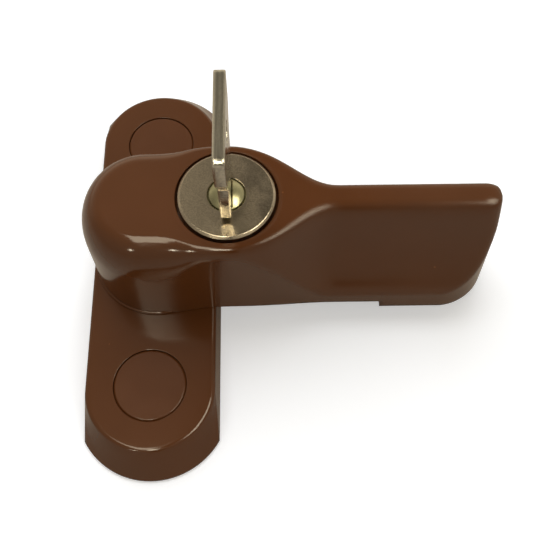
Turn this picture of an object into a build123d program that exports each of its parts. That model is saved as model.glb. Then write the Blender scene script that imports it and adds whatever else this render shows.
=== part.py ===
from build123d import *
import os
from math import sqrt

# Sash stopper: a swing arm on a screwed base plate, held by a keyed cam lock. All sizes in mm.
# Frame: origin on the pivot axis at the base's underside, +Z away from the window frame,
# +Y along the base, +X along the arm at rest.

# Base plate
BASE_HEIGHT = 6.0
BASE_LENGTH = 74.0
BASE_FOOT_WIDTH = 22.0
BASE_TOP_WIDTH = 20.9
BASE_END_FLARE = 1.7
BASE_LIP = 0.6
BASE_EDGE_RADIUS = 0.8
BASE_WALL = 2.2
CORE_DEPTH = 2.4
RIB_WIDTH = 2.2

# Fixing screws and their caps
SCREW_SPACING = 45.5
SCREW_HOLE_RADIUS = 2.3
COUNTERSINK_RADIUS = 4.2
COUNTERSINK_DEPTH = 1.9
SCREW_BOSS_RADIUS = 5.4
CAP_RADIUS = 5.9
CAP_DEPTH = 2.4
CAP_TOP_THICKNESS = 1.3
CAP_SKIRT = 1.1
CAP_CHAMFER = 0.3
CAP_CLEARANCE = 0.05

# Pivot
SPIGOT_RADIUS = 4.0
RUNNING_CLEARANCE = 0.05
POST_RADIUS = 7.6
POST_HEIGHT = 3.6
PIVOT_BOSS_RADIUS = 9.0
PIVOT_RECESS_RADIUS = 6.6
PIVOT_RECESS_DEPTH = 3.2
SPRING_SPACE = 1.0
SPRING_THICKNESS = 0.5
SPRING_OUTER_RADIUS = 5.6
SPRING_BORE_CLEARANCE = 0.15
WASHER_RADIUS = 5.9
WASHER_THICKNESS = 1.0
PIVOT_THREAD_RADIUS = 2.0
PIVOT_THREAD_LENGTH = 6.5
PIVOT_HEAD_RADIUS = 3.7
PIVOT_HEAD_HEIGHT = 1.0
THREAD_CLEARANCE = 0.05
FACE_GAP = 0.05

# Swing arm, outside
ARM_GAP = 0.2
ARM_TOP = 27.0
HEAD_X = 0.55
HEAD_FOOT_HALF = 10.5
HEAD_SHOULDER_HALF = 10.2
HEAD_ROUND_WIDTH = 4.2
HEAD_ROUND_HEIGHT = 8.0
COLLAR_EDGE = 0.25
COLLAR_HEIGHT = 0.5
BOSS_HALF = 9.5
BOSS_ROUND_WIDTH = 1.2
BOSS_ROUND_HEIGHT = 2.4
SWOOP_LENGTH = 16.8
ARM_REACH = 56.7
PADDLE_HALF = 8.95
TIP_LEAN = 2.2
TIP_OVERLAP = 0.05
PADDLE_WALL_TOP = 9.7
PADDLE_CORNER = 0.9
PADDLE_CORNER_RISE = 1.3
RIDGE_HALF = 1.1
RIDGE_SHOULDER = 2.3
SCOOP_Y = 2.2
TIP_EDGE_RADIUS = 0.8
TIP_EDGE_SHARE = 0.8
FOOT_START = 38.2
FOOT_DROP = 2.2

# How the arm's sections run into each other: the share of a run over which each end keeps its own
# shape, and where a quarter round's control points stand along its sides
HEAD_HOLD = 0.6
SWOOP_HOLD = 0.5
SWOOP_SETTLE = 1 / 3
QUARTER_ROUND = 0.5523

# Swing arm, cored underside
CORE_WEB = 2.0
CORE_WALL = 1.6
CORE_ROOF = 3.0
CORE_ROOF_HALF = 0.5
CORE_SHOULDER_INSET = 2.0
CORE_SCOOP_INSET = 1.3

# Lock
LOCK_X = 13.2
FACE_STAND = 0.6
FACE_RADIUS = 7.3
FACE_THICKNESS = 0.6
FACE_SKIRT = 0.35
FACE_CHAMFER = 0.35
FACE_RING_GAP = 0.45
FACE_DEPTH = 2.8
FACE_HOLE_GAP = 0.25
BARREL_RADIUS = 6.2
BARREL_FLAT = 0.7
BARREL_BOTTOM = 10.0
BARREL_CLEARANCE = 0.05
CLIP_LIP = 0.7
CLIP_THICKNESS = 0.8
CLIP_RADIUS = 7.0
CLIP_MOUTH = 4.0
CLIP_GROOVE_DEPTH = 0.5
CHAMBER_RADIUS = 7.6
HEAD_CHAMBER_RADIUS = 8.2
PLUG_RADIUS = 4.5
PLUG_FLANGE_RADIUS = 5.3
PLUG_FLANGE_HEIGHT = 1.0
PLUG_GAP = 0.1
PLUG_WEB = 2.8
DOME_RADIUS = 2.65
DOME_HEIGHT = 1.0
TANG_SIZE = 4.0
TANG_CLEARANCE = 0.05
CAM_THICKNESS = 1.4
CAM_RADIUS = 7.0
CAM_WIDTH = 6.4
CAM_HUB_RADIUS = 4.2
CAM_CLEARANCE = 0.3
CAM_DROP = 0.8
CAM_SCREW_RADIUS = 1.25
CAM_SCREW_LENGTH = 3.2
CAM_HEAD_RADIUS = 2.6
CAM_HEAD_HEIGHT = 1.2
LOCK_STOPS = 4

# Wafers and key
WAFER_COUNT = 4
WAFER_THICKNESS = 0.9
WAFER_WIDTH = 5.0
WAFER_FIRST_DEPTH = 2.9
WAFER_LAST_RISE = 2.8
WAFER_CLEARANCE = 0.08
WAFER_GROOVE = 0.7
EAR_WIDTH = 0.9
EAR_LENGTH = 0.8
SPRING_POCKET_LENGTH = 2.3
COIL_WIRE = 0.2
COIL_WIRE_SIDES = 8
COIL_RADIUS = 0.3
COIL_TURNS = 4
KEY_THICKNESS = 1.6
KEY_BLADE_WIDTH = 4.4
KEY_CLEARANCE = 0.1
KEY_TIP_CHAMFER = 1.0
KEY_CUT_STEP = 0.3
KEY_SHOULDER_GAP = 0.2
KEY_NECK_WIDTH = 9.0
KEY_NECK_LENGTH = 8.0
KEY_FLARE = 5.4
KEY_BOW_WIDTH = 14.4
KEY_BOW_SIDE = 5.7
KEY_CORNER = 0.9
KEY_HOLE_RADIUS = 1.7
KEY_HOLE_INSET = 4.2
KEY_EDGE = 0.2

# Heights that several pieces share
POST_TOP = BASE_HEIGHT + POST_HEIGHT
ARM_BOTTOM = BASE_HEIGHT + ARM_GAP
HEAD_CEILING = POST_TOP + FACE_GAP
SPIGOT_END = PIVOT_RECESS_DEPTH - SPRING_SPACE
WASHER_BOTTOM = SPIGOT_END - WASHER_THICKNESS
FOOT_BOTTOM = ARM_BOTTOM - FOOT_DROP
CAP_FLOOR = BASE_HEIGHT - CAP_DEPTH
CORNER_TOP = PADDLE_WALL_TOP + PADDLE_CORNER_RISE
SCOOP_Z = CORNER_TOP + (PADDLE_HALF - PADDLE_CORNER - SCOOP_Y) * PADDLE_CORNER_RISE / PADDLE_CORNER
FACE_TOP = ARM_TOP + FACE_STAND
FACE_UNDERSIDE = FACE_TOP - FACE_THICKNESS
SEAT = FACE_TOP - FACE_DEPTH
CLIP_BOTTOM = BARREL_BOTTOM + CLIP_LIP
LEDGE = CLIP_BOTTOM + CLIP_THICKNESS + FACE_GAP
PLUG_TOP = FACE_UNDERSIDE - PLUG_GAP
CAM_TOP = BARREL_BOTTOM - CAM_DROP
CAM_BOTTOM = CAM_TOP - CAM_THICKNESS
DOME_TOP = FACE_TOP + DOME_HEIGHT
KEY_SHOULDER = DOME_TOP + KEY_SHOULDER_GAP
KEYWAY_BOTTOM = BARREL_BOTTOM + PLUG_WEB
KEY_TIP = KEYWAY_BOTTOM + KEY_CLEARANCE
NECK_TOP = KEY_SHOULDER + KEY_NECK_LENGTH
BOW_LOW = NECK_TOP + KEY_FLARE
BOW_TOP = BOW_LOW + KEY_BOW_SIDE
FIRST_WAFER, LAST_WAFER = FACE_TOP - WAFER_FIRST_DEPTH, KEY_TIP + WAFER_LAST_RISE
WAFER_PITCH = (FIRST_WAFER - LAST_WAFER) / (WAFER_COUNT - 1)
WAFER_LEVELS = [FIRST_WAFER - WAFER_PITCH * i for i in range(WAFER_COUNT)]

BOTTOM = (Align.CENTER, Align.CENTER, Align.MIN)


def rod(radius, low, high, x=0.0, y=0.0):
    """An upright cylinder between two heights."""
    return Pos(x, y, low) * Cylinder(radius, high - low, align=BOTTOM)


def block(x_size, y_size, low, high, x=0.0, y=0.0):
    """An upright box between two heights, centred on x and y."""
    return Pos(x, y, low) * Box(x_size, y_size, high - low, align=BOTTOM)


def turned(points, x=0.0, y=0.0):
    """A solid of revolution about Z from a closed outline of (radius, height) points."""
    outline = make_face(Polyline(*[(r, 0, z) for r, z in points], close=True))
    return Pos(x, y, 0) * revolve(outline, Axis.Z)


def base_outline(half_width, tip, end_radius, height):
    """The base's plan at one height: two straight sides and two end arcs."""
    corner = tip - end_radius + sqrt(end_radius**2 - half_width**2)
    sides = Line((half_width, -corner), (half_width, corner))
    sides += ThreePointArc((half_width, corner), (0, tip), (-half_width, corner))
    sides += Line((-half_width, corner), (-half_width, -corner))
    sides += ThreePointArc((-half_width, -corner), (0, -tip), (half_width, -corner))
    return Pos(0, 0, height) * make_face(sides)


def screw_places():
    """Centres of the two fixing screws."""
    return [(0.0, SCREW_SPACING / 2), (0.0, -SCREW_SPACING / 2)]


def make_base_plate():
    """Cast base with sloping ends, a notched pivot post and a cored underside."""
    foot_half, top_half = BASE_FOOT_WIDTH / 2, BASE_TOP_WIDTH / 2
    top_tip = SCREW_SPACING / 2 + top_half
    foot = base_outline(foot_half, BASE_LENGTH / 2, foot_half + BASE_END_FLARE, 0)
    shoulder = Pos(0, 0, BASE_LIP) * foot
    top = base_outline(top_half, top_tip, top_half, BASE_HEIGHT)
    plate = extrude(foot, BASE_LIP) + loft([shoulder, top], ruled=True)
    plate = fillet(plate.faces().sort_by(Axis.Z)[-1].edges(), BASE_EDGE_RADIUS)

    core_half = top_half - BASE_WALL
    core = extrude(base_outline(core_half, top_tip - BASE_WALL, core_half, 0), CORE_DEPTH)
    core -= rod(PIVOT_BOSS_RADIUS, 0, CORE_DEPTH)
    core -= block(RIB_WIDTH, BASE_LENGTH, 0, CORE_DEPTH)
    for x, y in screw_places():
        core -= rod(SCREW_BOSS_RADIUS, 0, CORE_DEPTH, x, y)
    plate -= core

    post = rod(POST_RADIUS, BASE_HEIGHT, POST_TOP)
    notch = rod(CAM_RADIUS + CAM_CLEARANCE, BASE_HEIGHT, POST_TOP, LOCK_X)
    for stop in range(LOCK_STOPS):
        post -= Rot(0, 0, stop * 360 / LOCK_STOPS) * notch
    plate += post
    plate -= rod(SPIGOT_RADIUS + RUNNING_CLEARANCE, 0, POST_TOP)
    plate -= rod(PIVOT_RECESS_RADIUS, 0, PIVOT_RECESS_DEPTH)

    for x, y in screw_places():
        plate -= rod(CAP_RADIUS + CAP_CLEARANCE, CAP_FLOOR, BASE_HEIGHT, x, y)
        plate -= rod(SCREW_HOLE_RADIUS, 0, CAP_FLOOR, x, y)
        sink = Cone(SCREW_HOLE_RADIUS, COUNTERSINK_RADIUS, COUNTERSINK_DEPTH, align=BOTTOM)
        plate -= Pos(x, y, CAP_FLOOR - COUNTERSINK_DEPTH) * sink
    return plate


def make_screw_cap(x, y):
    """Press-in cup that hides a fixing screw, flush with the base's top."""
    cap = rod(CAP_RADIUS, CAP_FLOOR, BASE_HEIGHT, x, y)
    cap -= rod(CAP_RADIUS - CAP_SKIRT, CAP_FLOOR, BASE_HEIGHT - CAP_TOP_THICKNESS, x, y)
    return chamfer(cap.edges().group_by(Axis.Z)[-1], CAP_CHAMFER)


def make_pivot_spring():
    """Coned disc spring that keeps the arm stiff to turn."""
    inner = SPIGOT_RADIUS + SPRING_BORE_CLEARANCE
    low, high = SPIGOT_END, PIVOT_RECESS_DEPTH
    return turned([
        (inner, high - SPRING_THICKNESS), (inner, high),
        (SPRING_OUTER_RADIUS, low + SPRING_THICKNESS), (SPRING_OUTER_RADIUS, low),
    ])


def make_pivot_washer():
    """Flat washer clamped to the end of the arm's spigot."""
    hole = rod(PIVOT_THREAD_RADIUS + THREAD_CLEARANCE, WASHER_BOTTOM, SPIGOT_END)
    return rod(WASHER_RADIUS, WASHER_BOTTOM, SPIGOT_END) - hole


def cross_recess(width, reach, low, high, x=0.0):
    """Cross slot for a screwdriver."""
    return block(reach, width, low, high, x) + block(width, reach, low, high, x)


def make_pivot_screw():
    """Low-head screw from the base's underside into the arm's spigot."""
    head_bottom = WASHER_BOTTOM - PIVOT_HEAD_HEIGHT
    screw = rod(PIVOT_HEAD_RADIUS, head_bottom, WASHER_BOTTOM)
    screw = fillet(screw.edges().group_by(Axis.Z)[0], PIVOT_HEAD_HEIGHT / 2)
    screw += rod(PIVOT_THREAD_RADIUS, WASHER_BOTTOM, SPIGOT_END + PIVOT_THREAD_LENGTH)
    slot = PIVOT_HEAD_RADIUS / 4
    return screw - cross_recess(slot, PIVOT_HEAD_RADIUS, head_bottom, WASHER_BOTTOM - PIVOT_HEAD_HEIGHT / 4)


# Which of a half section's control points shape its wall, its corner and its flank
WALL, CORNER, FLANK = slice(0, 2), slice(1, 4), slice(3, 7)


def rounded_block(foot, shoulder, width, height):
    """Half-section control points (y, z): a wall from foot to shoulder, a quarter round, a flat top."""
    low = ARM_TOP - height
    lean = (shoulder - foot) / (low - ARM_BOTTOM)
    levels = [ARM_BOTTOM, low - 2 * PADDLE_CORNER, low - PADDLE_CORNER, low, low + QUARTER_ROUND * height]
    points = [(foot + lean * (z - ARM_BOTTOM), z) for z in levels]
    flat = shoulder - width
    return points + [(flat + QUARTER_ROUND * width, ARM_TOP), (flat, ARM_TOP)]


def ridge_section():
    """Half-section control points (y, z) of the paddle: a low wall, a scooped flank and a ridge."""
    return [
        (PADDLE_HALF, ARM_BOTTOM),
        (PADDLE_HALF, PADDLE_WALL_TOP - PADDLE_CORNER),
        (PADDLE_HALF, PADDLE_WALL_TOP),
        (PADDLE_HALF - PADDLE_CORNER, CORNER_TOP),
        (SCOOP_Y, SCOOP_Z),
        (RIDGE_HALF + RIDGE_SHOULDER, ARM_TOP),
        (RIDGE_HALF, ARM_TOP),
    ]


def run_row(pair, side, run):
    """The four points that carry one control point along X, level at both ends of the run."""
    start, end, hold, settle = run
    length = end - start
    places = (start, start + hold * length, end - settle * length, end)
    return [(x, side * y, z) for x, (y, z) in zip(places, (pair[0], pair[0], pair[1], pair[1]))]


def run_patch(pairs, side, run):
    """One smooth patch along the arm's side."""
    rows = [run_row(pair, side, run) for pair in pairs]
    return Face.make_bezier_surface([list(column) for column in zip(*rows)])


def run_cover(pair, run):
    """The flat face between the two sides at one control point: the top or the underside."""
    right, left = run_row(pair, 1, run), run_row(pair, -1, run)
    return make_face([Bezier(*right), Line(right[-1], left[-1]), Bezier(*left), Line(left[0], right[0])])


def side_edges(points, x, side):
    """One side of a cross-section at x."""
    placed = [(x, side * y, z) for y, z in points]
    return [Line(*placed[WALL]), Bezier(*placed[CORNER]), Bezier(*placed[FLANK])]


def cross_section(points, x):
    """Face across the whole arm at x."""
    edges = side_edges(points, x, 1) + side_edges(points, x, -1)
    edges += [Line((x, y, z), (x, -y, z)) for y, z in (points[0], points[-1])]
    return make_face(edges)


def arm_run(first, last, run):
    """Solid that changes smoothly from one section to another along X."""
    pairs = list(zip(first, last))
    skin = [run_patch(pairs[part], side, run) for part in (WALL, CORNER, FLANK) for side in (1, -1)]
    skin += [run_cover(pairs[0], run).face(), run_cover(pairs[-1], run).face()]
    skin += [cross_section(first, run[0]).face(), cross_section(last, run[1]).face()]
    return Solid(Shell(skin))


def round_end(points):
    """Half-round end of the head, the section turned about an upright axis."""
    edges = side_edges(points, HEAD_X, 1)
    edges += [Line((HEAD_X, y, z), (HEAD_X, 0, z)) for y, z in (points[0], points[-1])]
    edges.append(Line((HEAD_X, 0, ARM_BOTTOM), (HEAD_X, 0, ARM_TOP)))
    return revolve(make_face(edges), Axis((HEAD_X, 0, 0), (0, 0, 1)), 180)


def make_paddle(section, start):
    """The finger paddle, with a rounded end and a dropped foot."""
    paddle = extrude(cross_section(section, start), ARM_REACH - start, dir=(1, 0, 0))
    foot_x = (ARM_REACH + FOOT_START) / 2
    paddle += block(ARM_REACH - FOOT_START, 2 * PADDLE_HALF, FOOT_BOTTOM, ARM_BOTTOM, foot_x)
    paddle &= leaning_plan(PADDLE_HALF + TIP_OVERLAP, ARM_REACH)
    rim_start = ARM_REACH - TIP_LEAN - PADDLE_HALF
    # The fillet is kept within the ridge's own curve, whose end it meets
    ridge_radius = 1.5 * RIDGE_SHOULDER**2 / (ARM_TOP - SCOOP_Z)
    rim = [e for e in paddle.edges() if e.center().X > rim_start and e.center().Z > CORNER_TOP]
    return fillet(rim, min(TIP_EDGE_RADIUS, TIP_EDGE_SHARE * ridge_radius))


def leaning_plan(half, reach):
    """Stadium-shaped body around the arm, its round end leaning back from the foot to the ridge."""
    length = reach - half
    plan = Pos(length / 2, 0, FOOT_BOTTOM) * SlotCenterToCenter(length, 2 * half)
    rise = ARM_TOP - FOOT_BOTTOM
    return extrude(plan, sqrt(rise**2 + TIP_LEAN**2), dir=(-TIP_LEAN, 0, rise))


def make_swing_arm():
    """Cast arm: pivot head with spigot, lock boss, swoop and cored paddle."""
    head = rounded_block(HEAD_FOOT_HALF, HEAD_SHOULDER_HALF, HEAD_ROUND_WIDTH, HEAD_ROUND_HEIGHT)
    boss = rounded_block(BOSS_HALF, BOSS_HALF, BOSS_ROUND_WIDTH, BOSS_ROUND_HEIGHT)
    ridge = ridge_section()
    swoop_end = LOCK_X + SWOOP_LENGTH
    arm = Part() + round_end(head) + arm_run(head, boss, (HEAD_X, LOCK_X, HEAD_HOLD, HEAD_HOLD))
    arm += arm_run(boss, ridge, (LOCK_X, swoop_end, SWOOP_HOLD, SWOOP_SETTLE))
    arm += make_paddle(ridge, swoop_end)
    collar = rod(HEAD_FOOT_HALF + COLLAR_EDGE, ARM_BOTTOM, ARM_BOTTOM + COLLAR_HEIGHT, HEAD_X)
    arm += fillet(collar.edges().group_by(Axis.Z)[-1], COLLAR_EDGE)

    arm -= rod(HEAD_CHAMBER_RADIUS, ARM_BOTTOM, HEAD_CEILING)
    arm -= rod(CHAMBER_RADIUS, ARM_BOTTOM, LEDGE, LOCK_X)
    arm += rod(SPIGOT_RADIUS, SPIGOT_END, HEAD_CEILING)
    tapped_end = SPIGOT_END + PIVOT_THREAD_LENGTH + FACE_GAP
    arm -= rod(PIVOT_THREAD_RADIUS + THREAD_CLEARANCE, SPIGOT_END, tapped_end)
    arm -= rod(FACE_RADIUS + FACE_RING_GAP, SEAT, ARM_TOP, LOCK_X)
    arm -= barrel_bore()
    return arm - paddle_core()


def barrel_bore():
    """D-shaped hole for the lock barrel, from its seat down to the cam chamber."""
    radius = BARREL_RADIUS + BARREL_CLEARANCE
    bore = rod(radius, LEDGE, SEAT, LOCK_X)
    flat = block(BARREL_FLAT, 2 * radius, LEDGE, SEAT, LOCK_X + radius - BARREL_FLAT / 2)
    return bore - flat


def paddle_core():
    """Hollow under the paddle, following the scooped flanks one wall thickness in."""
    half = PADDLE_HALF - CORE_WALL
    start = LOCK_X + CHAMBER_RADIUS + CORE_WEB
    roof = ARM_TOP - CORE_ROOF
    points = [
        (half, FOOT_BOTTOM),
        (half, PADDLE_WALL_TOP - CORE_WALL),
        (SCOOP_Y - CORE_SCOOP_INSET, SCOOP_Z - CORE_SCOOP_INSET),
        (RIDGE_HALF + RIDGE_SHOULDER - CORE_SHOULDER_INSET, roof),
        (CORE_ROOF_HALF, roof),
    ]
    edges = []
    for side in (1, -1):
        placed = [(start, side * y, z) for y, z in points]
        edges += [Line(*placed[:2]), Bezier(*placed[1:])]
    for y, z in (points[0], points[-1]):
        edges.append(Line((start, y, z), (start, -y, z)))
    reach = ARM_REACH - CORE_WALL
    core = extrude(make_face(edges), reach - start, dir=(1, 0, 0))
    return core & leaning_plan(half + TIP_OVERLAP, reach)


def make_lock_barrel():
    """Fixed lock body: flanged, flat on one side, grooved for its clip and for the wafers."""
    flange_radius = FACE_RADIUS - FACE_SKIRT - BARREL_CLEARANCE
    barrel = rod(BARREL_RADIUS, BARREL_BOTTOM, SEAT, LOCK_X)
    flat_x = LOCK_X + BARREL_RADIUS - BARREL_FLAT / 2
    barrel -= block(BARREL_FLAT, 2 * BARREL_RADIUS, BARREL_BOTTOM, SEAT, flat_x)
    barrel += rod(flange_radius, SEAT, FACE_UNDERSIDE, LOCK_X)
    bore = PLUG_RADIUS + RUNNING_CLEARANCE
    flange_low = PLUG_TOP - PLUG_FLANGE_HEIGHT - PLUG_GAP
    barrel -= rod(bore, BARREL_BOTTOM, FACE_UNDERSIDE, LOCK_X)
    barrel -= rod(PLUG_FLANGE_RADIUS + RUNNING_CLEARANCE, flange_low, FACE_UNDERSIDE, LOCK_X)
    groove_width = WAFER_WIDTH + 2 * WAFER_CLEARANCE
    groove_low = WAFER_LEVELS[-1] - WAFER_THICKNESS
    grooves = rod(bore + WAFER_GROOVE, groove_low, flange_low, LOCK_X)
    barrel -= grooves & block(groove_width, 2 * (bore + WAFER_GROOVE), groove_low, flange_low, LOCK_X)
    groove = rod(BARREL_RADIUS, CLIP_BOTTOM - FACE_GAP, LEDGE, LOCK_X)
    groove -= rod(BARREL_RADIUS - CLIP_GROOVE_DEPTH, CLIP_BOTTOM - FACE_GAP, LEDGE, LOCK_X)
    return barrel - groove


def make_barrel_clip():
    """Open ring that snaps into the barrel's groove under the arm's ledge."""
    clip = rod(CLIP_RADIUS, CLIP_BOTTOM, CLIP_BOTTOM + CLIP_THICKNESS, LOCK_X)
    inner = BARREL_RADIUS - CLIP_GROOVE_DEPTH + FACE_GAP
    clip -= rod(inner, CLIP_BOTTOM, CLIP_BOTTOM + CLIP_THICKNESS, LOCK_X)
    mouth_x = LOCK_X + CLIP_RADIUS / 2
    return clip - block(CLIP_RADIUS, CLIP_MOUTH, CLIP_BOTTOM, CLIP_BOTTOM + CLIP_THICKNESS, mouth_x)


def make_lock_face():
    """Thin pressed cap over the barrel's flange, with a hole for the plug's dome."""
    cap = rod(FACE_RADIUS, SEAT + FACE_GAP, FACE_TOP, LOCK_X)
    cap = chamfer(cap.edges().group_by(Axis.Z)[-1], FACE_CHAMFER)
    cap -= rod(FACE_RADIUS - FACE_SKIRT, SEAT + FACE_GAP, FACE_UNDERSIDE, LOCK_X)
    return cap - rod(DOME_RADIUS + FACE_HOLE_GAP, FACE_UNDERSIDE, FACE_TOP, LOCK_X)


def pocket_length():
    """Length along Y of the pocket that holds a wafer's ear and its spring."""
    return SPRING_POCKET_LENGTH + EAR_LENGTH + WAFER_CLEARANCE


def make_lock_plug():
    """Turning plug: domed nose, keyway, wafer slots with spring pockets and a square tang."""
    flange_low = PLUG_TOP - PLUG_FLANGE_HEIGHT
    plug = rod(PLUG_RADIUS, CAM_TOP, flange_low, LOCK_X)
    plug += rod(PLUG_FLANGE_RADIUS, flange_low, PLUG_TOP, LOCK_X)
    plug += rod(DOME_RADIUS, PLUG_TOP, FACE_TOP, LOCK_X)
    ball = (DOME_RADIUS**2 + DOME_HEIGHT**2) / (2 * DOME_HEIGHT)
    plug += (Pos(LOCK_X, 0, DOME_TOP - ball) * Sphere(ball)) & rod(DOME_RADIUS, FACE_TOP, DOME_TOP, LOCK_X)
    plug += block(TANG_SIZE, TANG_SIZE, CAM_BOTTOM + FACE_GAP, CAM_TOP, LOCK_X)
    keyway_x, keyway_y = KEY_THICKNESS + 2 * KEY_CLEARANCE, KEY_BLADE_WIDTH + 2 * KEY_CLEARANCE
    plug -= block(keyway_x, keyway_y, KEYWAY_BOTTOM, DOME_TOP, LOCK_X)
    slot_half = WAFER_THICKNESS / 2 + WAFER_CLEARANCE
    pocket_width = EAR_WIDTH + WAFER_CLEARANCE
    for level in WAFER_LEVELS:
        low, high = level - slot_half, level + slot_half
        plug -= block(WAFER_WIDTH + 2 * WAFER_CLEARANCE, 2 * PLUG_RADIUS, low, high, LOCK_X)
        plug -= block(pocket_width, pocket_length(), low, high, LOCK_X + (WAFER_WIDTH + pocket_width) / 2)
    tapped_end = CAM_BOTTOM + CAM_SCREW_LENGTH + FACE_GAP
    return plug - rod(CAM_SCREW_RADIUS + THREAD_CLEARANCE, CAM_BOTTOM, tapped_end, LOCK_X)


def make_wafer(index):
    """Flat tumbler with a window for the key and an ear for its spring."""
    level = WAFER_LEVELS[index]
    low, high = level - WAFER_THICKNESS / 2, level + WAFER_THICKNESS / 2
    wafer = rod(PLUG_RADIUS - WAFER_CLEARANCE, low, high, LOCK_X)
    wafer &= block(WAFER_WIDTH, 2 * PLUG_RADIUS, low, high, LOCK_X)
    ear_y = pocket_length() / 2 - WAFER_CLEARANCE - EAR_LENGTH / 2
    wafer += block(EAR_WIDTH, EAR_LENGTH, low, high, LOCK_X + (WAFER_WIDTH + EAR_WIDTH) / 2, ear_y)
    cut_edge = KEY_BLADE_WIDTH / 2 - KEY_CUT_STEP * (index + 1) + WAFER_CLEARANCE
    back_edge = -KEY_BLADE_WIDTH / 2 - KEY_CUT_STEP
    window_y = (cut_edge + back_edge) / 2
    return wafer - block(KEY_THICKNESS + 2 * KEY_CLEARANCE, cut_edge - back_edge, low, high, LOCK_X, window_y)


def make_wafer_springs():
    """One small coil spring under each wafer's ear."""
    length = SPRING_POCKET_LENGTH - COIL_WIRE - 2 * FACE_GAP
    start_y = -pocket_length() / 2 + COIL_WIRE / 2 + FACE_GAP
    springs = []
    for level in WAFER_LEVELS:
        centre = (LOCK_X + (WAFER_WIDTH + EAR_WIDTH) / 2, start_y, level)
        path = Helix(length / COIL_TURNS, length, COIL_RADIUS, center=centre, direction=(0, 1, 0))
        start = Plane(origin=path @ 0, x_dir=(0, 1, 0), z_dir=path % 0)
        section = start * RegularPolygon(COIL_WIRE / 2, COIL_WIRE_SIDES)
        springs.append(sweep(section, path=path, is_frenet=True))
    return Compound(children=springs)


def make_locking_cam():
    """Flat cam whose lobe turns into a notch of the base's post."""
    cam = rod(CAM_RADIUS, CAM_BOTTOM, CAM_TOP, LOCK_X)
    cam &= block(CAM_WIDTH, CAM_RADIUS, CAM_BOTTOM, CAM_TOP, LOCK_X, -CAM_RADIUS / 2)
    cam += rod(CAM_HUB_RADIUS, CAM_BOTTOM, CAM_TOP, LOCK_X)
    hole = TANG_SIZE + 2 * TANG_CLEARANCE
    return cam - block(hole, hole, CAM_BOTTOM, CAM_TOP, LOCK_X)


def make_cam_screw():
    """Screw that clamps the cam to the plug's tang."""
    head_bottom = CAM_BOTTOM - CAM_HEAD_HEIGHT
    screw = rod(CAM_HEAD_RADIUS, head_bottom, CAM_BOTTOM, LOCK_X)
    screw = fillet(screw.edges().group_by(Axis.Z)[0], CAM_HEAD_HEIGHT / 3)
    screw += rod(CAM_SCREW_RADIUS, CAM_BOTTOM, CAM_BOTTOM + CAM_SCREW_LENGTH, LOCK_X)
    slot_top = CAM_BOTTOM - CAM_HEAD_HEIGHT / 3
    return screw - cross_recess(CAM_HEAD_RADIUS / 4, CAM_HEAD_RADIUS, head_bottom, slot_top, LOCK_X)


def make_key():
    """Flat key with a square bow and a stepped blade, standing in the plug."""
    half = KEY_BLADE_WIDTH / 2
    blade = [(-half, KEY_SHOULDER), (half, KEY_SHOULDER)]
    edge = half
    for level in WAFER_LEVELS:
        top = level + WAFER_PITCH / 2
        blade += [(edge, top), (edge - KEY_CUT_STEP, top)]
        edge -= KEY_CUT_STEP
    blade += [(edge, KEY_TIP + KEY_TIP_CHAMFER), (edge - KEY_TIP_CHAMFER, KEY_TIP)]
    blade += [(KEY_TIP_CHAMFER - half, KEY_TIP), (-half, KEY_TIP + KEY_TIP_CHAMFER)]
    neck, bow = KEY_NECK_WIDTH / 2, KEY_BOW_WIDTH / 2
    grip = [(neck, KEY_SHOULDER), (neck, NECK_TOP), (bow, BOW_LOW), (bow, BOW_TOP)]
    grip = make_face(Polyline(*grip, *[(-y, z) for y, z in reversed(grip)], close=True))
    grip = fillet([v for v in grip.vertices() if v.Y > KEY_SHOULDER + KEY_CORNER], KEY_CORNER)
    shape = grip + make_face(Polyline(*blade, close=True))
    shape -= Pos(0, BOW_TOP - KEY_HOLE_INSET) * Circle(KEY_HOLE_RADIUS)
    side = Plane(origin=(LOCK_X, 0, 0), x_dir=(0, 1, 0), z_dir=(1, 0, 0))
    key = extrude(side * shape, KEY_THICKNESS / 2, both=True)
    faces = key.faces().filter_by(Axis.X).sort_by(Axis.X)
    rim = faces[0].outer_wire().edges() + faces[-1].outer_wire().edges()
    return fillet([e for e in rim if e.center().Z > KEY_SHOULDER], KEY_EDGE)


NODES = {
    "base_plate": make_base_plate(),
    "screw_cap_far": make_screw_cap(*screw_places()[0]),
    "screw_cap_near": make_screw_cap(*screw_places()[1]),
    "swing_arm": make_swing_arm(),
    "pivot_disc_spring": make_pivot_spring(),
    "pivot_washer": make_pivot_washer(),
    "pivot_screw": make_pivot_screw(),
    "lock_barrel": make_lock_barrel(),
    "barrel_clip": make_barrel_clip(),
    "lock_face": make_lock_face(),
    "lock_plug": make_lock_plug(),
    "wafer_springs": make_wafer_springs(),
    "locking_cam": make_locking_cam(),
    "cam_screw": make_cam_screw(),
    "key": make_key(),
}
NODES.update({f"wafer_{i + 1}": make_wafer(i) for i in range(WAFER_COUNT)})

os.makedirs("parts", exist_ok=True)
for name, solid in NODES.items():
    export_step(solid, f"parts/{name}.step")
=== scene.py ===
import math

import bmesh
import bpy
import numpy as np
from bpy.props import FloatProperty, FloatVectorProperty, PointerProperty
from bpy.types import NodeSocket, Operator, Panel, PropertyGroup
from mathutils import Euler, Matrix, Vector


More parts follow.
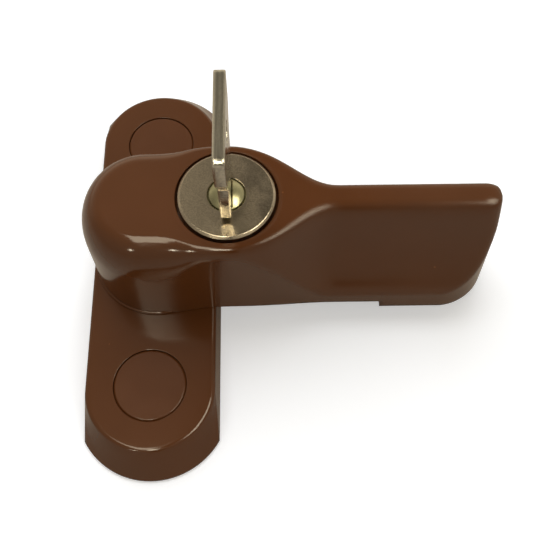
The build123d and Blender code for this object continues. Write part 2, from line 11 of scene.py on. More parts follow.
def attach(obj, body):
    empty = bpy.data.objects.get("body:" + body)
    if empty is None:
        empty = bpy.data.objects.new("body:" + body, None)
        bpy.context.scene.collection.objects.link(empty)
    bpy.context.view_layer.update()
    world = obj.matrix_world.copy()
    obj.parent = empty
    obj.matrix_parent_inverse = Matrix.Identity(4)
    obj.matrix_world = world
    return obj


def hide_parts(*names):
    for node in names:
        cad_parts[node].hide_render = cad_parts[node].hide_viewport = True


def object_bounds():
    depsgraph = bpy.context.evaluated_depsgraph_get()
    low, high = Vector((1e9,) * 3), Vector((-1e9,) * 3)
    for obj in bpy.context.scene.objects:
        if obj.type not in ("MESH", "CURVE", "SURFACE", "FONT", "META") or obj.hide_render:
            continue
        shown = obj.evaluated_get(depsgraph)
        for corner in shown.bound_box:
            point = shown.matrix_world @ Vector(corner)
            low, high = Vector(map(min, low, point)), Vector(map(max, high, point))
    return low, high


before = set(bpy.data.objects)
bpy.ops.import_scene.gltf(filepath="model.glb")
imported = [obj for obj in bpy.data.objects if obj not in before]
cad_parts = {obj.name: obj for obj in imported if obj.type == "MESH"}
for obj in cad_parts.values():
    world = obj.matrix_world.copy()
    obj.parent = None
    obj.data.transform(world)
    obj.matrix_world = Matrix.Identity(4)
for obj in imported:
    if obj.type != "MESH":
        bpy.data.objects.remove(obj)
CAD_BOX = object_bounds()

bl_info = {
    "name": "Sash Stopper Finish",
    "version": (1, 0, 0),
    "blender": (4, 5, 0),
    "location": "View3D > Sidebar > Stopper",
    "description": "Finishes a keyed window sash stopper: painted castings, nickel lock, key and stage",
    "category": "Object",
}

# Lengths are in metres, in the frame's own axes
MICRON = 1e-6
MERGE_DISTANCE = 1e-6
HARD_EDGE = math.radians(32)

# Radii over which edges look rounded or rubbed
PAINT_RUB_RADIUS = 0.00025
METAL_EDGE_RADIUS = 0.0002
KEY_EDGE_RADIUS = 0.0005
BEVEL_SAMPLES = 6

# Places along the arm between which the paint's edges turn from crisp to soft, and the two radii
SOFT_START, SOFT_END = 0.013, 0.026
CRISP_RADIUS, SOFT_RADIUS = 0.0002, 0.0015

# The arm's ridge: its top, its end there, and how far the end moves out for each metre down
RIDGE_TOP = 0.027
RIDGE_END = 0.0545
RIDGE_LEAN = 0.0887

# The rounding of the ridge's end: its length, the heights between which it grows, how far each side moves
# in and the top moves down, and the cuts that carry it each way
TIP_ROUND = 0.0026
TIP_ROOT, TIP_TOP = 0.0200, 0.0264
TIP_NARROW = 0.0012
TIP_DROP = 0.0007
TIP_CUTS = 10

# Colours that have no setting of their own
WHITE = (1.0, 1.0, 1.0, 1.0)
BLACK = (0.0, 0.0, 0.0, 1.0)
WORN_NICKEL = (0.82, 0.80, 0.76)
WORN_PLATING = (0.86, 0.85, 0.80)
WORN_STEEL = (0.78, 0.78, 0.78)
BARE_METAL = (0.75, 0.75, 0.76)
SPRING_STEEL = (0.36, 0.36, 0.37)

# Refractive indices of the two brown skins, and the caps' roughness and waves as shares of the paint's
PAINT_IOR = 1.47
PLASTIC_IOR = 1.46
CAP_ROUGHNESS, CAP_PEEL = 1.5, 0.8

# The floor: its gap under the stopper, its grid, and the shares of its radius between which it turns white
FLOOR_GAP = 0.0001
FLOOR_RINGS, FLOOR_SPOKES = 12, 96
FADE_START, FADE_END = 0.3, 0.75

# The floor's paper: how fine its fibres are, how dark between them, its range of roughness and its gloss
FIBRE_SCALE = 500.0
FIBRE_SHADE = 0.985
PAPER_SMOOTH, PAPER_ROUGH = 0.75, 0.9
PAPER_SPECULAR = 0.1

# Shares of the room light: to the sides, what the dark band overhead takes from it, and low in front
SIDE_LIGHT = 1.15
BAND_DIP = 0.95
FRONT_LIGHT = 1.2

# The camera's sensor in mm and its nearest sight
SENSOR_WIDTH = 36.0
CLIP_START = 0.005

# Each lamp's direction from LAMP_AIM, distance, width and height, the setting that holds its power, and
# whether it gives soft light without gleam or gleam alone
LAMP_AIM = Vector((0.0, 0.0, 0.02))
LAMPS = (
    ("top_box", (-0.05, 0.43, 0.90), 0.27, (0.24, 0.24), "box_power", "soft"),
    ("front_box", (0.45, -0.62, 0.64), 0.5, (0.3, 0.3), "fill_power", "soft"),
    ("left_strip", (-0.195, -0.27, 0.94), 0.8, (0.17, 0.58), "strip_power", "gleam"),
    ("right_strip", (0.58, -0.24, 0.78), 0.8, (0.40, 0.56), "right_power", "gleam"),
    ("front_strip", (-0.05, -0.72, 0.69), 0.8, (0.12, 0.28), "front_power", "gleam"),
    ("small_window", (-0.38, -0.9, 0.26), 0.8, (0.075, 0.06), "window_power", "gleam"),
)

# Pieces of the lock and pivot that share a finish
WAFERS = ("wafer_1", "wafer_2", "wafer_3", "wafer_4")
SPRINGS = ("wafer_springs", "barrel_clip", "pivot_disc_spring")
FASTENERS = ("locking_cam", "cam_screw", "pivot_washer", "pivot_screw")


# Node wiring

class Wiring:
    """Adds nodes to one tree, with their inputs set or joined as they are made."""

    def __init__(self, tree):
        self.tree = tree

    def feed(self, socket, value):
        """Joins an input to another node's output, or sets it to a value."""
        if isinstance(value, NodeSocket):
            self.tree.links.new(value, socket)
        else:
            socket.default_value = value

    def add(self, kind, inputs=None, **settings):
        node = self.tree.nodes.new(kind)
        for name, value in settings.items():
            setattr(node, name, value)
        for name, value in (inputs or {}).items():
            self.feed(node.inputs[name], value)
        return node

    def noise(self, place, scale, detail=2.0, roughness=0.5):
        inputs = {"Vector": place, "Scale": scale, "Detail": detail, "Roughness": roughness}
        return self.add("ShaderNodeTexNoise", inputs).outputs["Fac"]

    def math(self, operation, first, second=0.0, third=0.0):
        inputs = {0: first, 1: second, 2: third}
        return self.add("ShaderNodeMath", inputs, operation=operation).outputs[0]

    def vector(self, operation, *inputs, output="Vector"):
        node = self.add("ShaderNodeVectorMath", dict(enumerate(inputs)), operation=operation)
        return node.outputs[output]

    def axes(self, place):
        return self.add("ShaderNodeSeparateXYZ", {"Vector": place}).outputs

    def spread(self, value, low=0.0, high=1.0, to_low=0.0, to_high=1.0):
        inputs = {"Value": value, "From Min": low, "From Max": high, "To Min": to_low, "To Max": to_high}
        return self.add("ShaderNodeMapRange", inputs, interpolation_type="SMOOTHSTEP").outputs["Result"]

    def mix(self, share, first, second):
        # Of this node's inputs, 0 is the share, and 6 and 7 are the two colours
        return self.add("ShaderNodeMix", {0: share, 6: first, 7: second}, data_type="RGBA").outputs[2]

    def part_mix(self, mask, share, first, second):
        """The second colour over the first where the mask is, at a share of its strength."""
        return self.mix(self.math("MULTIPLY", mask, share), first, second)

    def bump(self, height, distance, normal):
        inputs = {"Height": height, "Distance": distance, "Strength": 1.0, "Normal": normal}
        return self.add("ShaderNodeBump", inputs).outputs["Normal"]


def new_group(name, inputs, outputs):
    """An empty node group: its wiring, what it is given and what it puts out. Inputs without a default are
    vectors."""
    tree = bpy.data.node_groups.new(name, "ShaderNodeTree")
    for label, default in inputs.items():
        kind = "NodeSocketVector" if default is None else "NodeSocketFloat"
        socket = tree.interface.new_socket(label, in_out="INPUT", socket_type=kind)
        if default is not None:
            socket.default_value = default
    for label, kind in outputs.items():
        tree.interface.new_socket(label, in_out="OUTPUT", socket_type=kind)
    wires = Wiring(tree)
    return wires, wires.add("NodeGroupInput").outputs, wires.add("NodeGroupOutput").inputs


def sprayed_skin_group():
    """Sprayed paint or moulded skin: a slow wave of orange peel, a fine grain on it, a slow drift of tone
    and a few specks of dust, all noises of the place on the piece."""
    wires, given, out = new_group(
        "Sprayed Skin",
        {"Place": None, "Peel Scale": 700.0, "Grain Scale": 9000.0, "Grain Share": 0.15,
         "Speck Scale": 170.0, "Speck Size": 0.03},
        {"Height": "NodeSocketFloat", "Tone": "NodeSocketFloat", "Specks": "NodeSocketFloat"})
    speck_rarity, speck_height, drift_scale = 0.55, 0.8, 0.12
    place = given["Place"]
    peel = wires.noise(place, given["Peel Scale"], detail=1.0)
    grain = wires.math("MULTIPLY", wires.noise(place, given["Grain Scale"]), given["Grain Share"])
    cells = wires.add("ShaderNodeTexVoronoi", {"Vector": place, "Scale": given["Speck Scale"]}).outputs
    dots = wires.math("LESS_THAN", cells["Distance"], given["Speck Size"])
    chance = wires.add("ShaderNodeSeparateColor", {"Color": cells["Color"]}).outputs["Red"]
    specks = wires.math("MULTIPLY", dots, wires.math("GREATER_THAN", chance, speck_rarity))
    height = wires.math("ADD", wires.math("ADD", peel, grain), wires.math("MULTIPLY", specks, speck_height))
    drift = wires.noise(place, wires.math("MULTIPLY", given["Peel Scale"], drift_scale), detail=3.0)
    wires.feed(out["Height"], height)
    wires.feed(out["Tone"], wires.spread(drift, low=0.3, high=0.7))
    wires.feed(out["Specks"], specks)
    return wires.tree


def edge_rub_group():
    """Rubbed edges: where a normal rounded over a small radius leaves the surface's own, broken up by
    noise."""
    wires, given, out = new_group(
        "Edge Rub",
        {"Place": None, "Radius": 0.0004, "Break Scale": 900.0},
        {"Mask": "NodeSocketFloat", "Normal": "NodeSocketVector"})
    bevel = wires.add("ShaderNodeBevel", {"Radius": given["Radius"]}, samples=BEVEL_SAMPLES)
    rounded = bevel.outputs["Normal"]
    own = wires.add("ShaderNodeNewGeometry").outputs["Normal"]
    agree = wires.vector("DOT_PRODUCT", rounded, own, output="Value")
    edge = wires.spread(agree, low=0.98, high=0.80)
    patches = wires.noise(given["Place"], given["Break Scale"], detail=3.0)
    broken = wires.spread(patches, low=0.35, high=0.65)
    wires.feed(out["Mask"], wires.math("MULTIPLY", edge, broken))
    wires.feed(out["Normal"], rounded)
    return wires.tree


def metal_marks_group():
    """Worked metal: short scratches from stretched noise laid two ways, smudges from handling and a fine
    grain."""
    wires, given, out = new_group(
        "Metal Marks",
        {"Place": None, "Scratch Scale": 2500.0, "Stretch": 14.0, "Smudge Scale": 320.0},
        {"Height": "NodeSocketFloat", "Scratches": "NodeSocketFloat", "Smudges": "NodeSocketFloat",
         "Grain": "NodeSocketFloat"})
    scratch_turns, grain_fineness = (0.35, -0.9), 1.8
    place = given["Place"]
    laid = []
    for turn in scratch_turns:
        turned = wires.add("ShaderNodeVectorRotate", {"Vector": place, "Angle": turn},
                           rotation_type="Z_AXIS")
        long_way = wires.add("ShaderNodeCombineXYZ", {"X": 1.0, "Y": given["Stretch"], "Z": 1.0})
        stretched = wires.vector("MULTIPLY", turned.outputs[0], long_way.outputs[0])
        scale = wires.math("DIVIDE", given["Scratch Scale"], given["Stretch"])
        laid.append(wires.noise(stretched, scale, detail=3.0, roughness=0.6))
    height = wires.math("ADD", *laid)
    smudges = wires.noise(place, given["Smudge Scale"], detail=4.0, roughness=0.55)
    grain_scale = wires.math("MULTIPLY", given["Scratch Scale"], grain_fineness)
    grain = wires.noise(place, grain_scale, roughness=0.6)
    wires.feed(out["Height"], height)
    wires.feed(out["Scratches"], wires.spread(height, low=1.12, high=1.32))
    wires.feed(out["Smudges"], wires.spread(smudges, low=0.35, high=0.7))
    wires.feed(out["Grain"], wires.spread(grain, low=0.42, high=0.62))
    return wires.tree


GROUP_MAKERS = {
    "Sprayed Skin": sprayed_skin_group,
    "Edge Rub": edge_rub_group,
    "Metal Marks": metal_marks_group,
}


def place_group(wires, name, values):
    """A shared effect placed in a material with its own values. It is built when it is first asked for."""
    group = bpy.data.node_groups.get(name) or GROUP_MAKERS[name]()
    return wires.add("ShaderNodeGroup", values, node_tree=group).outputs


def new_material(name):
    """A material with an empty tree: its wiring, the inputs of its shader and the place on the piece."""
    material = bpy.data.materials.new(name)
    material.use_nodes = True
    material.node_tree.nodes.clear()
    wires = Wiring(material.node_tree)
    shader = wires.add("ShaderNodeBsdfPrincipled")
    wires.add("ShaderNodeOutputMaterial", {"Surface": shader.outputs["BSDF"]})
    place = wires.add("ShaderNodeTexCoord").outputs["Object"]
    return material, wires, shader.inputs, place


def scaled(colour, share=1.0):
    """A colour made lighter or darker, with full alpha."""
    return (*(min(channel * share, 1.0) for channel in colour[:3]), 1.0)


def coated_material(name, colour, roughness, peel_scale, peel_depth, grain_share, ior, rub):
    """Brown skin of paint or plastic: drifting tone, orange peel, specks, edges rubbed lighter, and a skin
    that runs softly over the creases of the arm's swoop and paddle."""
    material, wires, shader, place = new_material(name)
    values = {"Place": place, "Peel Scale": peel_scale, "Grain Share": grain_share}
    skin = place_group(wires, "Sprayed Skin", values)
    edge = place_group(wires, "Edge Rub", {"Place": place, "Radius": PAINT_RUB_RADIUS})
    dark, pale, rubbed, dusty = (scaled(colour, share) for share in (0.97, 1.03, 1.7, 2.4))
    dust_share = 0.5
    tone = wires.mix(skin["Tone"], dark, pale)
    tone = wires.part_mix(edge["Mask"], rub, tone, rubbed)
    tone = wires.part_mix(skin["Specks"], dust_share, tone, dusty)
    along = wires.axes(place)["X"]
    radius = wires.spread(along, SOFT_START, SOFT_END, CRISP_RADIUS, SOFT_RADIUS)
    soft = place_group(wires, "Edge Rub", {"Place": place, "Radius": radius})
    gloss = wires.spread(skin["Tone"], to_low=roughness * 0.96, to_high=roughness * 1.06)
    wires.feed(shader["Base Color"], tone)
    wires.feed(shader["Roughness"], gloss)
    wires.feed(shader["Normal"], wires.bump(skin["Height"], peel_depth, soft["Normal"]))
    wires.feed(shader["IOR"], ior)
    return material


def metal_material(name, colour, worn, roughness, scratch_depth, stretch=14.0, smudge_share=0.3,
                   grain_share=0.2, streaks=None, edge_radius=METAL_EDGE_RADIUS):
    """Plain or plated metal: scratches, smudges that dull it, a sandy grain, edges rubbed to the metal
    beneath, and dark rolling streaks where streaks gives how often they come along each axis."""
    material, wires, shader, place = new_material(name)
    marks = place_group(wires, "Metal Marks", {"Place": place, "Stretch": stretch})
    edge = place_group(wires, "Edge Rub", {"Place": place, "Radius": edge_radius})
    clean, smudged, scratched, sandy, rolled = (
        scaled(colour, share) for share in (1.05, 0.82, 1.2, 0.55, 0.6))
    scratch_share, rub_share = 0.25, 0.7
    tone = wires.part_mix(marks["Smudges"], smudge_share, clean, smudged)
    tone = wires.part_mix(marks["Scratches"], scratch_share, tone, scratched)
    tone = wires.part_mix(marks["Grain"], grain_share, tone, sandy)
    if streaks:
        bands = wires.noise(wires.vector("MULTIPLY", place, streaks), scale=1.0, detail=3.0, roughness=0.6)
        tone = wires.mix(wires.spread(bands, low=0.3, high=0.75), tone, rolled)
    tone = wires.part_mix(edge["Mask"], rub_share, tone, scaled(worn))
    gloss = wires.spread(marks["Smudges"], to_low=roughness * 0.85, to_high=roughness * 1.35)
    wires.feed(shader["Base Color"], tone)
    wires.feed(shader["Roughness"], gloss)
    wires.feed(shader["Normal"], wires.bump(marks["Height"], scratch_depth, edge["Normal"]))
    wires.feed(shader["Metallic"], 1.0)
    return material


# Meshes

def cut_tip(editing):
    """Lays cuts across the end of the arm's ridge and at heights up it, so that it can bend. Those across
    come closer together towards the end, as the sine of even steps does."""
    start = RIDGE_END - TIP_ROUND
    steps = np.arange(TIP_CUTS) / TIP_CUTS
    cuts = [((x, 0.0, 0.0), (1.0, 0.0, 0.0)) for x in start + TIP_ROUND * np.sin(math.pi / 2 * steps)]
    cuts += [((0.0, 0.0, z), (0.0, 0.0, 1.0)) for z in TIP_ROOT + steps * (TIP_TOP - TIP_ROOT)]
    for place, facing in cuts:
        faces = [face for face in editing.faces if max(v.co.x for v in face.verts) > start + MERGE_DISTANCE]
        edges = dict.fromkeys(edge for face in faces for edge in face.edges)
        points = dict.fromkeys(point for face in faces for point in face.verts)
        bmesh.ops.bisect_plane(editing, geom=[*points, *edges, *faces], plane_co=place, plane_no=facing,
                               dist=MERGE_DISTANCE)


def bend_tip(mesh):
    """Rounds the end of the arm's ridge. With a from 0 to 1 along the rounding and h from 0 to 1 up the
    ridge, eased, a point moves in by TIP_NARROW at most and down by TIP_DROP, each times h times (1 minus
    the root of 1 minus a squared), so that the end follows a quarter of an ellipse."""
    flat = np.empty(3 * len(mesh.vertices), np.float32)
    mesh.vertices.foreach_get("co", flat)
    x, y, z = flat.reshape(-1, 3).astype(float).T
    start = RIDGE_END - TIP_ROUND + RIDGE_LEAN * (RIDGE_TOP - z)
    along = np.clip((x - start) / TIP_ROUND, 0.0, 1.0)
    rise = np.clip((z - TIP_ROOT) / (TIP_TOP - TIP_ROOT), 0.0, 1.0)
    pull = (1.0 - np.sqrt(1.0 - along**2)) * rise**2 * (3.0 - 2.0 * rise)
    inward = np.sign(y) * np.minimum(np.abs(y), TIP_NARROW) * pull
    bent = np.stack([x, y - inward, z - TIP_DROP * pull], axis=1)
    mesh.vertices.foreach_set("co", bent.astype(np.float32).ravel())
    mesh.update()


def dressed(node, piece, body, material, rounded_tip=False):
    """A copy of one solid's mesh, shown in its place: doubled points are merged, edges that turn more than
    HARD_EDGE stay hard, and the rest are shaded by normals weighted with the area of the faces there."""
    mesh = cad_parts[node].data.copy()
    mesh.name = piece
    editing = bmesh.new()
    editing.from_mesh(mesh)
    bmesh.ops.remove_doubles(editing, verts=editing.verts, dist=MERGE_DISTANCE)
    if rounded_tip:
        cut_tip(editing)
    editing.to_mesh(mesh)
    editing.free()
    if rounded_tip:
        bend_tip(mesh)
    if "custom_normal" in mesh.attributes:
        mesh.attributes.remove(mesh.attributes["custom_normal"])
    mesh.shade_smooth()
    mesh.set_sharp_from_angle(angle=HARD_EDGE)
    mesh.materials.clear()
    mesh.materials.append(material)
    obj = bpy.data.objects.new(piece, mesh)
    bpy.context.scene.collection.objects.link(obj)
    shading = obj.modifiers.new("area_normals", "WEIGHTED_NORMAL")
    shading.keep_sharp = True
    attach(obj, body)
    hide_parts(node)


def coat(nodes, material):
    """Puts one material on solids that are shown as they are."""
    for node in nodes:
        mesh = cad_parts[node].data
        mesh.materials.clear()
        mesh.materials.append(material)


def disc_surface(radius, level, rings, spokes):
    """A flat disc of radius R: its point at share a and turn b is (a R cos b, a R sin b, level)."""
    share = np.linspace(0.0, 1.0, rings)[1:, None]
    turn = np.linspace(0.0, 2 * math.pi, spokes, endpoint=False)[None, :]
    x, y = share * radius * np.cos(turn), share * radius * np.sin(turn)
    ring_points = np.stack([x, y, np.full_like(x, level)], axis=-1).reshape(-1, 3)
    points = np.vstack([[0.0, 0.0, level], ring_points])
    column = np.arange(spokes)
    after = (column + 1) % spokes
    fan = np.stack([np.zeros(spokes, int), 1 + column, 1 + after], axis=1)
    inner = 1 + spokes * np.arange(rings - 2)[:, None]
    outer = inner + spokes
    quads = np.stack([inner + column, outer + column, outer + after, inner + after], axis=-1)
    return points, fan.tolist() + quads.reshape(-1, 4).tolist()


# Stage

def lay_floor(stage):
    """A wide pale disc just under the stopper, faintly fibrous like paper. To the camera it is lifted a
    little near the stopper, so that the shadow stays, and fades to plain white further out. All other
    rays see it darker, as painted shade that stands in for the floor's shade near the stopper."""
    level = CAD_BOX[0][2] - FLOOR_GAP
    points, faces = disc_surface(stage.floor_radius, level, FLOOR_RINGS, FLOOR_SPOKES)
    mesh = bpy.data.meshes.new("floor")
    mesh.from_pydata(points.tolist(), [], faces)
    material, wires, shader, place = new_material("pale_floor")
    path = wires.add("ShaderNodeLightPath").outputs
    fibre = wires.noise(place, FIBRE_SCALE, detail=4.0, roughness=0.6)
    tone = wires.mix(fibre, scaled(stage.floor, FIBRE_SHADE), scaled(stage.floor))
    from_pivot = wires.vector("LENGTH", place, output="Value")
    fade = wires.spread(from_pivot, FADE_START * stage.floor_radius, FADE_END * stage.floor_radius)
    faded = wires.mix(fade, tone, BLACK)
    lift = wires.math("MULTIPLY_ADD", fade, 1.0 - stage.floor_lift, stage.floor_lift)
    # Every ray but the camera's sees the floor in a darker colour: painted shade standing in for the floor's
    # shade near the stopper, in the pieces' reflections and bounce light
    wires.feed(shader["Base Color"], wires.mix(path["Is Camera Ray"], scaled(stage.floor_painted_shade), faded))
    wires.feed(shader["Roughness"], wires.spread(fibre, to_low=PAPER_SMOOTH, to_high=PAPER_ROUGH))
    wires.feed(shader["Specular IOR Level"], PAPER_SPECULAR)
    wires.feed(shader["Emission Color"], WHITE)
    wires.feed(shader["Emission Strength"], wires.math("MULTIPLY", path["Is Camera Ray"], lift))
    mesh.materials.append(material)
    floor = bpy.data.objects.new("floor", mesh)
    bpy.context.scene.collection.objects.link(floor)


def light_room(stage):
    """A dim warm room with a dark band overhead from front to back, a little brighter low in front, with a
    pale backdrop low behind the stopper, and the lamps: two soft boxes that give no gleam, and three strips
    and a small window that give gleam alone. The camera itself sees plain white past the floor, and gloss
    shows the backdrop in the room's tint."""
    world = bpy.data.worlds.new("studio")
    world.use_nodes = True
    world.node_tree.nodes.clear()
    wires = Wiring(world.node_tree)
    room_tint = scaled(stage.room_tint)
    axes = wires.axes(wires.add("ShaderNodeTexCoord").outputs["Generated"])
    behind = wires.math("MAXIMUM", axes["Y"], 0.0)
    low = wires.math("SUBTRACT", 1.0, wires.math("ABSOLUTE", axes["Z"]))
    near_backdrop = wires.math("MULTIPLY", behind, low)
    band_start = wires.spread(axes["X"], low=-0.12, high=0.0)
    band_end = wires.spread(axes["X"], low=0.1, high=0.22)
    band = wires.math("SUBTRACT", band_start, band_end)
    sky = wires.math("MULTIPLY_ADD", band, -BAND_DIP * stage.sky, SIDE_LIGHT * stage.sky)
    front = wires.spread(axes["Y"], low=-0.8, high=-0.1, to_low=FRONT_LIGHT, to_high=1.0)
    sky = wires.math("MULTIPLY", sky, front)
    level = wires.math("MULTIPLY_ADD", near_backdrop, stage.glow, sky)
    path = wires.add("ShaderNodeLightPath").outputs
    gleam = wires.math("MULTIPLY", path["Is Glossy Ray"], wires.spread(near_backdrop, low=0.35, high=0.75))
    plain = wires.math("MAXIMUM", path["Is Camera Ray"], path["Is Transmission Ray"])
    seen = wires.math("MAXIMUM", plain, gleam)
    white = wires.mix(path["Is Camera Ray"], room_tint, WHITE)
    room = wires.add("ShaderNodeBackground", {"Color": room_tint, "Strength": level})
    backdrop = wires.add("ShaderNodeBackground", {"Color": white, "Strength": 1.0})
    both = wires.add("ShaderNodeMixShader", {0: seen, 1: room.outputs[0], 2: backdrop.outputs[0]})
    wires.add("ShaderNodeOutputWorld", {"Surface": both.outputs[0]})
    bpy.context.scene.world = world
    for lamp in LAMPS:
        add_lamp(stage, *lamp)


def add_lamp(stage, name, direction, distance, size, power, gives):
    """A rectangular lamp at a distance from LAMP_AIM along a direction. It faces back there, with its height
    along Y."""
    lamp = bpy.data.lights.new(name, "AREA")
    lamp.shape = "RECTANGLE"
    lamp.size, lamp.size_y = size
    lamp.energy = getattr(stage, power)
    lamp.color = WHITE[:3] if gives == "soft" else stage.lamp_tint
    facing = Vector(direction).normalized()
    across = Vector((0.0, 1.0, 0.0)).cross(facing).normalized()
    obj = bpy.data.objects.new(name, lamp)
    obj.location = LAMP_AIM + facing * distance
    obj.rotation_euler = Matrix((across, facing.cross(across), facing)).transposed().to_euler()
    obj.visible_camera = False
    obj.visible_diffuse = gives == "soft"
    obj.visible_glossy = gives == "gleam"
    bpy.context.scene.collection.objects.link(obj)


def set_camera(stage):
    """The photograph's viewpoint."""
    camera = bpy.data.cameras.new("camera")
    camera.sensor_fit = "HORIZONTAL"
    camera.sensor_width = SENSOR_WIDTH
    camera.lens = stage.lens
    camera.clip_start = CLIP_START
    obj = bpy.data.objects.new("camera", camera)
    obj.location = stage.camera_place
    obj.rotation_euler = Euler(stage.camera_turn)
    bpy.context.scene.collection.objects.link(obj)
    bpy.context.scene.camera = obj


# Settings that a user would change

class StopperFinish(PropertyGroup):
    """Colours and surface of the pieces."""

    paint: FloatVectorProperty(
        name="Paint", description="Brown paint of the two castings",
        subtype="COLOR", size=3, min=0.0, max=1.0, default=(0.088, 0.0285, 0.0075))
    cap: FloatVectorProperty(
        name="Caps", description="Brown plastic of the screw caps",
        subtype="COLOR", size=3, min=0.0, max=1.0, default=(0.090, 0.0290, 0.0080))
    nickel: FloatVectorProperty(
        name="Lock face", description="Satin nickel of the lock face",
        subtype="COLOR", size=3, min=0.0, max=1.0, default=(0.57, 0.495, 0.385))
    plug: FloatVectorProperty(
        name="Plug", description="Nickel over brass of the lock plug",
        subtype="COLOR", size=3, min=0.0, max=1.0, default=(0.36, 0.35, 0.215))
    key: FloatVectorProperty(
        name="Key", description="Nickel plating of the key",
        subtype="COLOR", size=3, min=0.0, max=1.0, default=(0.66, 0.63, 0.54))
    brass: FloatVectorProperty(
        name="Brass", description="Brass of the wafers and of rubbed plating",
        subtype="COLOR", size=3, min=0.0, max=1.0, default=(0.72, 0.56, 0.26))
    steel: FloatVectorProperty(
        name="Steel", description="Plated steel of the screws, washer and cam",
        subtype="COLOR", size=3, min=0.0, max=1.0, default=(0.58, 0.58, 0.58))
    zinc: FloatVectorProperty(
        name="Zinc", description="Cast zinc of the lock barrel",
        subtype="COLOR", size=3, min=0.0, max=1.0, default=(0.50, 0.51, 0.53))
    paint_roughness: FloatProperty(
        name="Paint roughness", description="How matt the paint is",
        subtype="FACTOR", min=0.0, max=1.0, default=0.12)
    peel: FloatProperty(
        name="Orange peel", description="Height of the waves in the paint",
        unit="LENGTH", precision=7, min=0.0, max=0.0001, default=0.0000012)
    edge_rub: FloatProperty(
        name="Edge rub", description="How far edges are rubbed lighter",
        subtype="FACTOR", min=0.0, max=1.0, default=0.25)


class StopperStage(PropertyGroup):
    """Camera, light and floor."""

    camera_place: FloatVectorProperty(
        name="Camera", description="Where the camera stands",
        subtype="TRANSLATION", unit="LENGTH", size=3, default=(0.018288, -0.056146, 0.127881))
    camera_turn: FloatVectorProperty(
        name="Camera turn", description="The camera's tilt, roll and swing",
        subtype="EULER", size=3, default=tuple(math.radians(a) for a in (23.89, 0.0, -0.84)))
    lens: FloatProperty(
        name="Lens", description="Focal length on a 36 mm sensor, in mm",
        min=10.0, max=200.0, default=52.38)
    floor: FloatVectorProperty(
        name="Floor", description="Pale floor",
        subtype="COLOR", size=3, min=0.0, max=1.0, default=(0.86, 0.89, 0.94))
    floor_radius: FloatProperty(
        name="Floor radius", description="How far the floor reaches",
        unit="LENGTH", min=0.1, max=5.0, default=0.35)
    # The floor's colour for every ray but the camera's, darker than the floor itself: painted shade near the
    # stopper in the pieces' reflections and bounce light
    floor_painted_shade: FloatVectorProperty(
        name="Painted floor shade", description="Floor as the pieces see it",
        subtype="COLOR", size=3, min=0.0, max=1.0, default=(0.48, 0.43, 0.36))
    floor_lift: FloatProperty(
        name="Floor lift", description="Added white that only the camera sees",
        subtype="FACTOR", min=0.0, max=1.0, default=0.30)
    box_power: FloatProperty(
        name="Top box", description="Power of the soft box overhead, which gives no gleam",
        subtype="POWER", unit="POWER", min=0.0, default=0.60)
    fill_power: FloatProperty(
        name="Front box", description="Power of the soft box in front, which gives no gleam",
        subtype="POWER", unit="POWER", min=0.0, default=0.60)
    strip_power: FloatProperty(
        name="Left strip", description="Power of the strip to the left overhead",
        subtype="POWER", unit="POWER", min=0.0, default=1.9)
    right_power: FloatProperty(
        name="Right strip", description="Power of the strip to the right overhead",
        subtype="POWER", unit="POWER", min=0.0, default=5.5)
    front_power: FloatProperty(
        name="Front strip", description="Power of the strip in front",
        subtype="POWER", unit="POWER", min=0.0, default=1.5)
    window_power: FloatProperty(
        name="Small window", description="Power of the small bright window low in front",
        subtype="POWER", unit="POWER", min=0.0, default=0.35)
    lamp_tint: FloatVectorProperty(
        name="Lamp tint", description="Warm tint of the strips and the window",
        subtype="COLOR", size=3, min=0.0, max=1.0, default=(1.0, 0.90, 0.68))
    room_tint: FloatVectorProperty(
        name="Room tint", description="Warm tint of the room",
        subtype="COLOR", size=3, min=0.0, max=1.0, default=(1.0, 0.88, 0.68))
    sky: FloatProperty(
        name="Room light", description="Brightness of the dim room",
        min=0.0, max=2.0, default=0.28)
    glow: FloatProperty(
        name="Far glow", description="Extra brightness low behind the stopper",
        min=0.0, max=2.0, default=0.75)


# Operators, one for each piece or group of like pieces

class STOPPER_OT_castings(Operator):
    """Paint the base plate and the swing arm"""

    bl_idname = "stopper.castings"
    bl_label = "Paint Castings"

    def execute(self, context):
        finish = context.scene.stopper_finish
        paint = coated_material("brown_paint", finish.paint, finish.paint_roughness, peel_scale=900.0,
                                peel_depth=finish.peel, grain_share=0.2, ior=PAINT_IOR, rub=finish.edge_rub)
        dressed("base_plate", "base_casting", "base", paint)
        dressed("swing_arm", "arm_casting", "arm", paint, rounded_tip=True)
        return {"FINISHED"}


class STOPPER_OT_caps(Operator):
    """Finish the two moulded screw caps"""

    bl_idname = "stopper.caps"
    bl_label = "Finish Screw Caps"

    def execute(self, context):
        finish = context.scene.stopper_finish
        plastic = coated_material("brown_plastic", finish.cap, finish.paint_roughness * CAP_ROUGHNESS,
                                  peel_scale=1500.0, peel_depth=finish.peel * CAP_PEEL, grain_share=0.5,
                                  ior=PLASTIC_IOR, rub=finish.edge_rub)
        for side in ("far", "near"):
            dressed(f"screw_cap_{side}", f"cap_moulding_{side}", "base", plastic)
        return {"FINISHED"}


class STOPPER_OT_lock_face(Operator):
    """Finish the lock face and the domed plug"""

    bl_idname = "stopper.lock_face"
    bl_label = "Finish Lock Face"

    def execute(self, context):
        finish = context.scene.stopper_finish
        satin = metal_material("satin_nickel", finish.nickel, WORN_NICKEL, roughness=0.20,
                               scratch_depth=1.0 * MICRON, grain_share=0.45)
        nose = metal_material("nickel_plug", finish.plug, finish.brass, roughness=0.30,
                              scratch_depth=0.6 * MICRON)
        dressed("lock_face", "lock_face_cap", "arm", satin)
        dressed("lock_plug", "lock_plug_turning", "plug", nose)
        return {"FINISHED"}


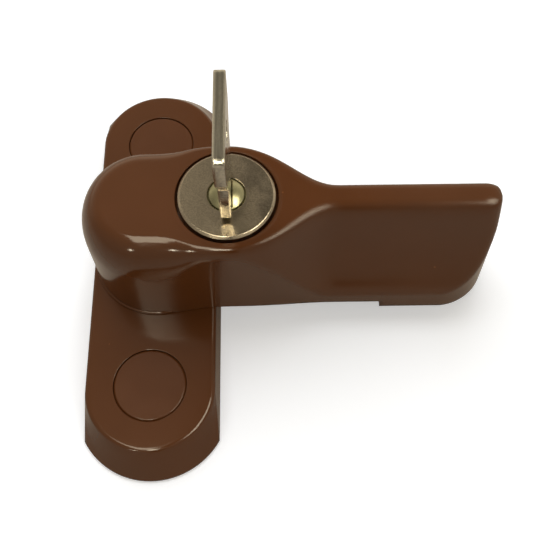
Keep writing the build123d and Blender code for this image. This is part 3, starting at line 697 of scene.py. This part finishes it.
class STOPPER_OT_key(Operator):
    """Plate the key"""

    bl_idname = "stopper.key"
    bl_label = "Plate Key"

    def execute(self, context):
        finish = context.scene.stopper_finish
        plating = metal_material("nickel_key", finish.key, WORN_PLATING, roughness=0.14,
                                 scratch_depth=1.2 * MICRON, stretch=8.0, streaks=(2600.0, 110.0, 2400.0),
                                 edge_radius=KEY_EDGE_RADIUS)
        dressed("key", "key_blank", "key", plating)
        return {"FINISHED"}


class STOPPER_OT_lock_works(Operator):
    """Finish the lock's barrel and wafers, the springs and the clip"""

    bl_idname = "stopper.lock_works"
    bl_label = "Finish Lock Works"

    def execute(self, context):
        finish = context.scene.stopper_finish
        zinc = metal_material("zinc", finish.zinc, BARE_METAL, roughness=0.42, scratch_depth=3.0 * MICRON,
                              stretch=1.5)
        brass = metal_material("wafer_brass", finish.brass, finish.brass, roughness=0.30,
                               scratch_depth=1.0 * MICRON)
        springs = metal_material("spring_steel", SPRING_STEEL, BARE_METAL, roughness=0.28,
                                 scratch_depth=0.8 * MICRON)
        coat(("lock_barrel",), zinc)
        coat(WAFERS, brass)
        coat(SPRINGS, springs)
        return {"FINISHED"}


class STOPPER_OT_fasteners(Operator):
    """Finish the pivot screw, its washer, the cam and the cam screw"""

    bl_idname = "stopper.fasteners"
    bl_label = "Finish Fasteners"

    def execute(self, context):
        finish = context.scene.stopper_finish
        plated = metal_material("plated_steel", finish.steel, WORN_STEEL, roughness=0.30,
                                scratch_depth=1.0 * MICRON, stretch=4.0)
        coat(FASTENERS, plated)
        return {"FINISHED"}


class STOPPER_OT_stage(Operator):
    """Lay the floor, light the room and set the camera"""

    bl_idname = "stopper.stage"
    bl_label = "Set Stage"

    def execute(self, context):
        stage = context.scene.stopper_stage
        lay_floor(stage)
        light_room(stage)
        set_camera(stage)
        context.scene.view_settings.view_transform = "Standard"
        return {"FINISHED"}


OPERATORS = (STOPPER_OT_castings, STOPPER_OT_caps, STOPPER_OT_lock_face, STOPPER_OT_key,
             STOPPER_OT_lock_works, STOPPER_OT_fasteners, STOPPER_OT_stage)


class STOPPER_PT_finish(Panel):
    """Lists the settings and the operators"""

    bl_idname = "STOPPER_PT_finish"
    bl_label = "Sash Stopper"
    bl_space_type = "VIEW_3D"
    bl_region_type = "UI"
    bl_category = "Stopper"

    def draw(self, context):
        for group in (context.scene.stopper_finish, context.scene.stopper_stage):
            box = self.layout.box()
            for name in group.__annotations__:
                box.prop(group, name)
        for operator in OPERATORS:
            self.layout.operator(operator.bl_idname)


CLASSES = (StopperFinish, StopperStage, *OPERATORS, STOPPER_PT_finish)


def register():
    for cls in CLASSES:
        bpy.utils.register_class(cls)
    bpy.types.Scene.stopper_finish = PointerProperty(type=StopperFinish)
    bpy.types.Scene.stopper_stage = PointerProperty(type=StopperStage)


def unregister():
    del bpy.types.Scene.stopper_stage
    del bpy.types.Scene.stopper_finish
    for cls in reversed(CLASSES):
        bpy.utils.unregister_class(cls)


def main():
    register()
    for operator in OPERATORS:
        group, name = operator.bl_idname.split(".")
        getattr(getattr(bpy.ops, group), name)()


if __name__ == "__main__":
    main()
